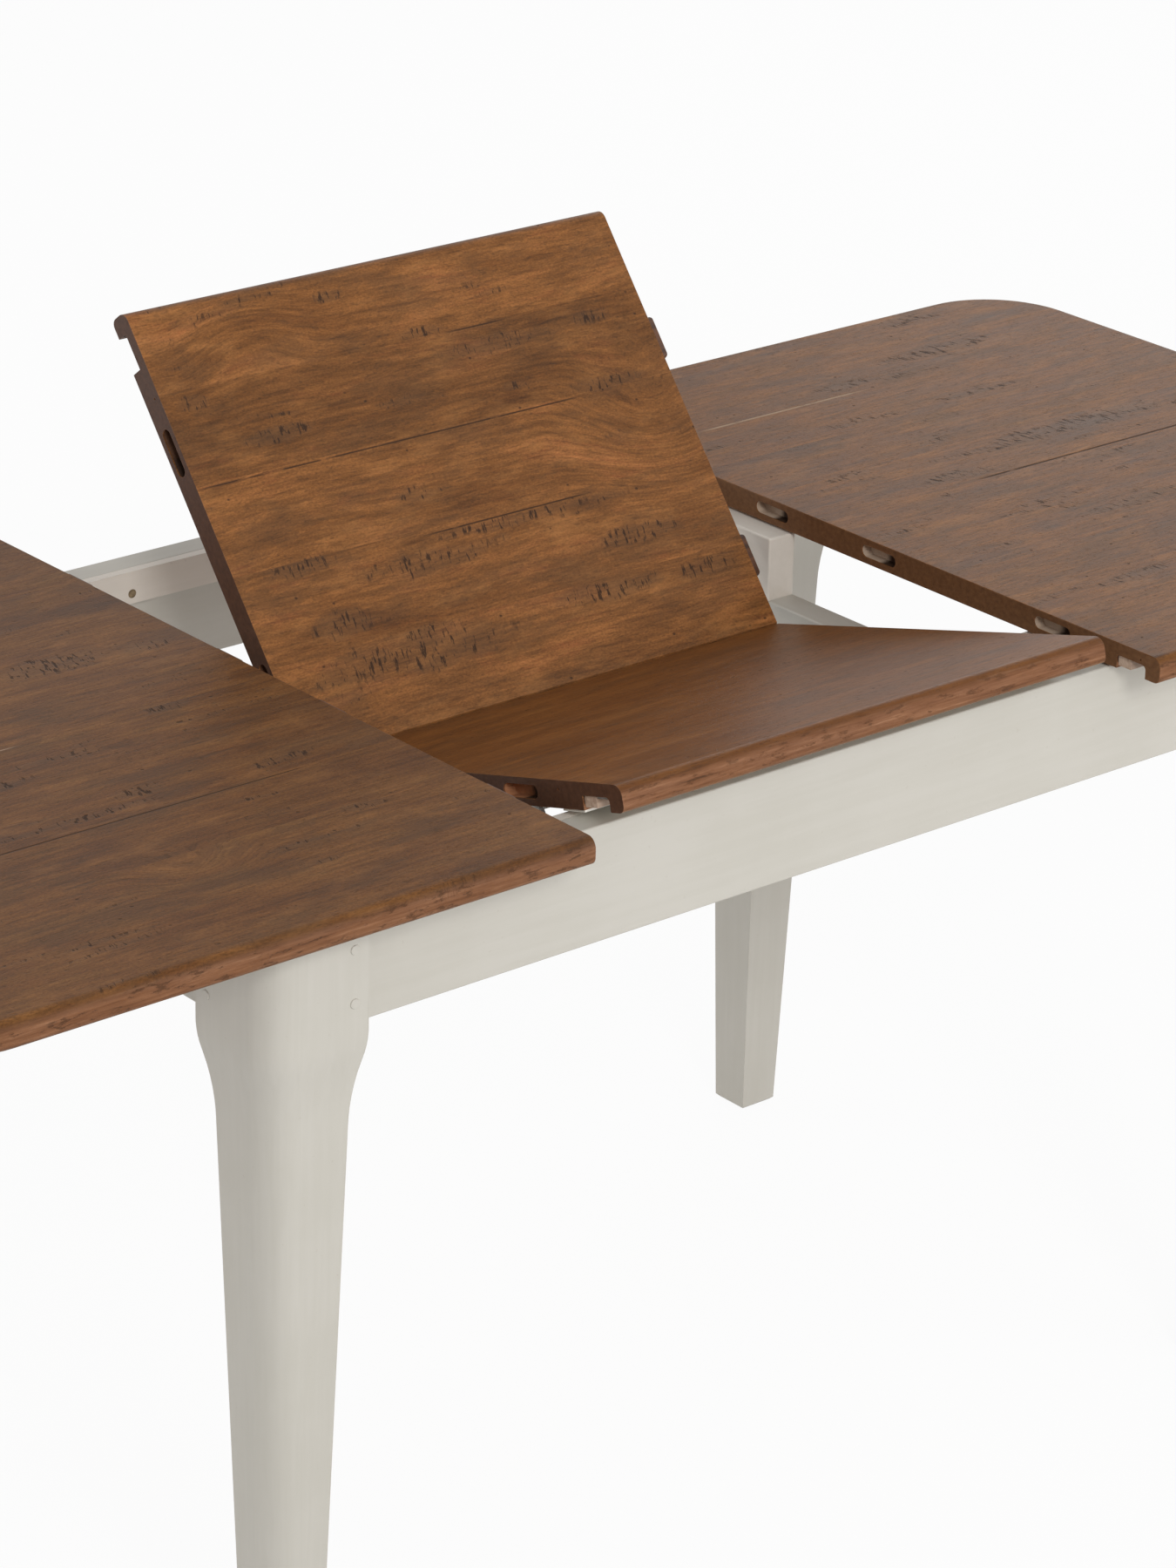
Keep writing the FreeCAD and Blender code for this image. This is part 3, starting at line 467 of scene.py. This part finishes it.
leafFrontLook = {
    "seed": 19.0,
    "tones": (tone(124, 74, 36), tone(146, 90, 43), tone(162, 102, 50), tone(176, 116, 59)),
    "planks": (128, 130, 126, 129, 127, 128, 128, 128, 128, 128),
    "grain": 0.36, "dust": 0.22, "streak": 0.46, "bloom": 0.25, "weather": 0.28, "chips": 0.55,
    "rows": 0.76, "slant": 10, "wander": 0.008, "rough": 0.31, "specular": 0.10,
    "knots": [],
    "seams": [],
    "marks": [(0.120, -0.160, 0.050, 0.004)],
    "endX": 0.400, "slotX": 0.254, "slotSide": 1.0,
    "ends": (tone(56, 36, 26), tone(96, 64, 46)),
    "bare": (tone(146, 96, 64), tone(188, 134, 98)),
}
leafRearLook = {
    "seed": 27.0,
    "tones": (tone(136, 82, 43), tone(170, 110, 59), tone(192, 127, 71), tone(214, 150, 89)),
    "planks": (128, 128, 128, 128, 128, 154, 150, 150, 119, 156),
    "grain": 0.56, "dust": 0.50, "streak": 0.38, "bloom": 0.22, "weather": 0.34, "chips": 0.45,
    "rows": 0.62, "slant": 6, "wander": 0.016, "rough": 0.38, "specular": 0.18,
    "knots": [(0.226, 0.205, 0.095, 0.050), (-0.15, 0.36, 0.06, -0.02)],
    "seamWidth": 0.0010,
    "seams": [(0.2395, -0.26, 0.16, "tick"), (0.1555, -0.07, 0.13, "tick"), (0.3215, 0.03, 0.12, "tick")],
    "marks": [(0.090, 0.303, 0.070, 0.009), (0.195, 0.307, 0.028, 0.008), (0.018, 0.327, 0.030, 0.006),
              (-0.226, 0.312, 0.018, 0.008), (-0.157, 0.269, 0.045, 0.009), (0.177, 0.246, 0.050, 0.008),
              (-0.183, 0.155, 0.038, 0.009), (-0.060, 0.133, 0.075, 0.012), (0.034, 0.150, 0.110, 0.006),
              (0.154, 0.111, 0.055, 0.010), (-0.172, 0.101, 0.040, 0.014), (0.103, 0.069, 0.075, 0.010),
              (-0.105, 0.062, 0.110, 0.022), (0.203, 0.066, 0.040, 0.010), (-0.189, 0.062, 0.035, 0.012),
              (-0.057, 0.375, 0.018, 0.006)],
    "endX": 0.400, "slotX": 0.254, "slotSide": 1.0,
    "ends": (tone(56, 36, 26), tone(96, 64, 46)),
    # painted shade: the rear leaf's dark slot tones stand for the shade deep inside its slots
    "bare": (tone(72, 48, 36), tone(104, 72, 52)),
}
boardFinish = {
    "top_panel_left": waxedBoard("topLeftWood", "top", topLeftLook),
    "top_panel_right": waxedBoard("topRightWood", "top", topRightLook),
    "leaf_panel_front": waxedBoard("leafFrontWood", "leafFront", leafFrontLook),
    "leaf_panel_rear": waxedBoard("leafRearWood", "leafRear", leafRearLook),
}
print("board finishes made:", len(boardFinish))

# brushed satin paint of the frame, strokes along each piece; the inner pieces get a paler copy of the same
# paint as painted light, standing in for light reaching them in the well
paint = {
    "outer": (tone(190, 186, 176), tone(195, 191, 182)),
    "litInner": (tone(215, 207, 196), tone(221, 213, 203)),
    "worn": tone(172, 164, 150),
    "wear": 0.55,
    "rough": 0.40,
    "roughMottle": 0.12,
    "specular": 0.35,
    "strokeScale": (7, 160),  # along and across the strokes
    "strokeCloud": (4.0, 0.6),
    "tintStep": (0.32, 0.68),
    "mottle": (even(11), 4.0, 0.55),
    "specks": (even(210), 2.0, 0.5, 0.72, 0.78),
    "rubs": (even(34), 3.0, 0.5, 0.40, 0.66),
    "peel": (even(260), 2.0, 0.5),
    "brushShare": 0.45,
    "speckShade": 0.25,
    "arris": 0.0022,
    "peelShare": 0.35,
    "depth": 0.00014,
    "strength": 0.4,
}


def brushedPaint(name, lie, lightingCopy="outer", wear=paint["wear"]):
    finish, tree, shader = newFinish(name)
    coords = objectCoords(tree)
    brush = cloud(tree, coords, runs(lie, *paint["strokeScale"]), *paint["strokeCloud"])
    mottle = layer(tree, coords, paint["mottle"])
    tint = plus(tree, times(tree, brush, paint["brushShare"]), times(tree, mottle, 1 - paint["brushShare"]))
    colour = blend(tree, step(tree, tint, *paint["tintStep"]), *paint[lightingCopy])
    specks = layer(tree, coords, paint["specks"])
    colour = blend(tree, times(tree, specks, paint["speckShade"]), colour, paint["worn"])
    edges = times(tree, arris(tree, paint["arris"]), layer(tree, coords, paint["rubs"]))
    colour = blend(tree, times(tree, edges, wear), colour, paint["worn"])
    tree.links.new(colour, shader.inputs["Base Color"])
    rough = plus(tree, times(tree, mottle, paint["roughMottle"]), paint["rough"])
    tree.links.new(rough, shader.inputs["Roughness"])
    shader.inputs["Specular IOR Level"].default_value = paint["specular"]
    peel = layer(tree, coords, paint["peel"])
    level = plus(tree, brush, times(tree, peel, paint["peelShare"]))
    relief(tree, shader, level, paint["depth"], paint["strength"])
    return finish


paintFinish = {lie: brushedPaint("framePaint" + lie.upper(), lie) for lie in "xyz"}
# painted light: paler copies of the frame paint for the inner pieces, which sit in shade
litInnerFinish = {lie: brushedPaint("litInnerPaint" + lie.upper(), lie, "litInner") for lie in "xy"}
pegFinish = brushedPaint("pegPaint", "z", wear=0.0)

# plain wood of the hidden parts and the darker tongues
bareWood = {"pale": tone(192, 168, 148), "dark": tone(154, 126, 106), "rough": 0.54}
tongueWood = {"pale": tone(104, 66, 42), "dark": tone(58, 36, 25), "rough": 0.42}
plainGrain = {
    "grainScale": (9, 130),  # along and across the grain
    "grainCloud": (5.0, 0.62, 0.4),  # detail, roughness, warp
    "grainStep": (0.30, 0.70),
    "poreScale": (54, 780),
    "poreCloud": (2.0, 0.5, 0.58, 0.72),
    "pores": 0.4,
    "arris": 0.0014,
    "edges": 0.4,
    "roughGrain": 0.15,
    "depth": 0.0003,
    "strength": 0.5,
}


def plainWood(name, look, lie):
    finish, tree, shader = newFinish(name)
    coords = objectCoords(tree)
    grain = cloud(tree, coords, runs(lie, *plainGrain["grainScale"]), *plainGrain["grainCloud"])
    pores = layer(tree, coords, (runs(lie, *plainGrain["poreScale"]), *plainGrain["poreCloud"]))
    colour = blend(tree, step(tree, grain, *plainGrain["grainStep"]), look["dark"], look["pale"])
    colour = blend(tree, times(tree, pores, plainGrain["pores"]), colour, look["dark"])
    edges = times(tree, arris(tree, plainGrain["arris"]), plainGrain["edges"])
    colour = blend(tree, edges, colour, look["pale"])
    tree.links.new(colour, shader.inputs["Base Color"])
    rough = plus(tree, times(tree, grain, plainGrain["roughGrain"]), look["rough"])
    tree.links.new(rough, shader.inputs["Roughness"])
    relief(tree, shader, minus(tree, grain, pores), plainGrain["depth"], plainGrain["strength"])
    return finish


# bright zinc hardware and the browned hinges
zinc = {"bright": (0.52, 0.51, 0.49, 1), "dull": (0.30, 0.295, 0.285, 1), "rough": 0.24}
agedHinge = {"bright": (0.30, 0.22, 0.13, 1), "dull": (0.085, 0.058, 0.038, 1), "rough": 0.30}
plating = {
    "bloom": (even(85), 5.0, 0.6),
    "bloomStep": (0.34, 0.66),
    "scratch": ((60, 1400, 700), 2.0, 0.5),
    "arris": 0.0008,
    "edges": 0.6,
    "roughScratch": 0.22,
    "depth": 0.00008,
    "strength": 0.4,
}


def platedMetal(name, look):
    finish, tree, shader = newFinish(name)
    coords = objectCoords(tree)
    bloom = layer(tree, coords, plating["bloom"])
    scratch = layer(tree, coords, plating["scratch"])
    colour = blend(tree, step(tree, bloom, *plating["bloomStep"]), look["dull"], look["bright"])
    edges = times(tree, arris(tree, plating["arris"]), plating["edges"])
    colour = blend(tree, edges, colour, look["bright"])
    tree.links.new(colour, shader.inputs["Base Color"])
    shader.inputs["Metallic"].default_value = 1.0
    rough = plus(tree, times(tree, scratch, plating["roughScratch"]), look["rough"])
    tree.links.new(rough, shader.inputs["Roughness"])
    relief(tree, shader, plus(tree, scratch, bloom), plating["depth"], plating["strength"])
    return finish


# milky nylon of the pads, glides and rest strips
nylon = {"pale": tone(232, 230, 222), "dark": tone(212, 208, 196), "rough": 0.38, "roughGrain": 0.2,
         "milk": (even(45), 4.0, 0.5), "grain": (even(900), 2.0, 0.5), "depth": 0.00008, "strength": 0.4}


def mouldedNylon(name, look):
    finish, tree, shader = newFinish(name)
    coords = objectCoords(tree)
    milk = layer(tree, coords, look["milk"])
    grain = layer(tree, coords, look["grain"])
    tree.links.new(blend(tree, milk, look["dark"], look["pale"]), shader.inputs["Base Color"])
    rough = plus(tree, times(tree, grain, look["roughGrain"]), look["rough"])
    tree.links.new(rough, shader.inputs["Roughness"])
    relief(tree, shader, plus(tree, grain, milk), look["depth"], look["strength"])
    return finish


hingeFinish = platedMetal("agedHinge", agedHinge)
bareFinish = {lie: plainWood("bareWood" + lie.upper(), bareWood, lie) for lie in "xz"}
slotFinish = {
    "tongue_wood": plainWood("tongueWood", tongueWood, "x"),
    "zinc_steel": platedMetal("zincSteel", zinc),
    "hinge_steel": hingeFinish,
    "nylon": mouldedNylon("whiteNylon", nylon),
}
# painted shade: the bearer screws take the dark hinge finish to stand for the shade in their sunk holes
ownFinish = {**boardFinish, "bearer_screws": hingeFinish, "tenon_pegs": pegFinish}  # pegs are painted over
# painted light: the rail blocks and bearer rails get the paler copy of the paint
innerPieces = ("rail_block", "bearer_rail")

# which way each piece's grain or brush strokes run
runsAlongY = ("apron_left", "apron_right", "cross_rail", "rail_block")
runsAlongZ = ("leg_front", "leg_rear", "corner_block")
slotOf = {piece["node"]: piece["material_slot"] for piece in frame["record"]["subparts"]}
for name, piece in nodes.items():
    lie = "y" if name.startswith(runsAlongY) else "z" if name.startswith(runsAlongZ) else "x"
    if name in ownFinish:
        finish = ownFinish[name]
    elif name.startswith(innerPieces):
        finish = litInnerFinish[lie]
    elif slotOf[name] == "frame_paint":
        finish = paintFinish[lie]
    elif slotOf[name] == "inner_wood":
        finish = bareFinish[lie]
    else:
        finish = slotFinish[slotOf[name]]
    for slot in piece.material_slots:
        slot.material = finish
print("finishes on", len(nodes), "pieces")

# floor and studio light
studio = {"floorSize": 40.0, "floorTone": (0.80, 0.80, 0.80, 1), "floorRough": 0.9, "floorGlow": 0.94,
          "world": 0.53, "backdrop": 0.97, "aim": (0, 0, 0.6)}
lamps = {
    "keyLamp": {"place": (-2.4, -5.6, 4.1), "size": 1.6, "power": 186.0},
    "lowLamp": {"place": (1.7, -3.2, 1.0), "size": 2.0, "power": 32.0},
    "leftLamp": {"place": (-5.5, 0.0, 1.2), "size": 2.4, "power": 13.0},
    "rearLamp": {"place": (4.2, 2.9, 2.3), "size": 2.2, "power": 23.0},
    "backLamp": {"place": (-3.2, 4.6, 1.1), "size": 2.4, "power": 60.0},
}


def backdropRay(tree):  # 1 where the camera sees the background, also in a shine or through a clear piece
    ray = tree.nodes.new("ShaderNodeLightPath")
    bounced = larger(tree, ray.outputs["Is Glossy Ray"], ray.outputs["Is Transmission Ray"])
    return larger(tree, ray.outputs["Is Camera Ray"], bounced)


bpy.ops.object.select_all(action="DESELECT")
bpy.ops.mesh.primitive_plane_add(size=studio["floorSize"], location=(0, 0, 0))
floor = bpy.context.object
floor.name = "floor"
floorFinish, floorTree, floorShader = newFinish("paleFloor")
floorShader.inputs["Base Color"].default_value = studio["floorTone"]
floorShader.inputs["Roughness"].default_value = studio["floorRough"]
floorShader.inputs["Specular IOR Level"].default_value = 0.0
glow = floorTree.nodes.new("ShaderNodeEmission")
mixer = floorTree.nodes.new("ShaderNodeMixShader")
floorTree.links.new(times(floorTree, backdropRay(floorTree), studio["floorGlow"]), mixer.inputs[0])
floorTree.links.new(floorShader.outputs[0], mixer.inputs[1])
floorTree.links.new(glow.outputs[0], mixer.inputs[2])
floorTree.links.new(mixer.outputs[0], floorTree.nodes["Material Output"].inputs["Surface"])
floor.data.materials.append(floorFinish)

world = bpy.data.worlds.new("studio")
bpy.context.scene.world = world
world.use_nodes = True
skyTree = world.node_tree
sky = skyTree.nodes["Background"]
sky.inputs["Color"].default_value = (1, 1, 1, 1)
skyLevel = times(skyTree, backdropRay(skyTree), studio["backdrop"] - studio["world"])
skyTree.links.new(plus(skyTree, skyLevel, studio["world"]), sky.inputs["Strength"])

for name, look in lamps.items():
    bpy.ops.object.select_all(action="DESELECT")
    bpy.ops.object.light_add(type="AREA", location=look["place"])
    lamp = bpy.context.object
    lamp.name = name
    lamp.data.size = look["size"]
    lamp.data.energy = look["power"]
    lamp.rotation_euler = (Vector(studio["aim"]) - Vector(look["place"])).to_track_quat("-Z", "Y").to_euler()
print("floor and", len(lamps), "lamps set")

# camera at the photograph's place, sensor on the long side
view = {"place": (-2.48025, -2.93575, 2.21977), "turn": (66.9006, -1.4150, -39.9978), "lens": 114.35,
        "sensor": 36.0, "clipEnd": 100.0}
camData = bpy.data.cameras.new("photoCamera")
cam = bpy.data.objects.new("photoCamera", camData)
bpy.context.collection.objects.link(cam)
cam.location = view["place"]
cam.rotation_euler = [math.radians(angle) for angle in view["turn"]]
camData.sensor_fit = "AUTO"
camData.sensor_width = view["sensor"]
camData.lens = view["lens"]
camData.clip_end = view["clipEnd"]
bpy.context.scene.camera = cam
bpy.context.scene.view_settings.view_transform = "Standard"
print("camera set")
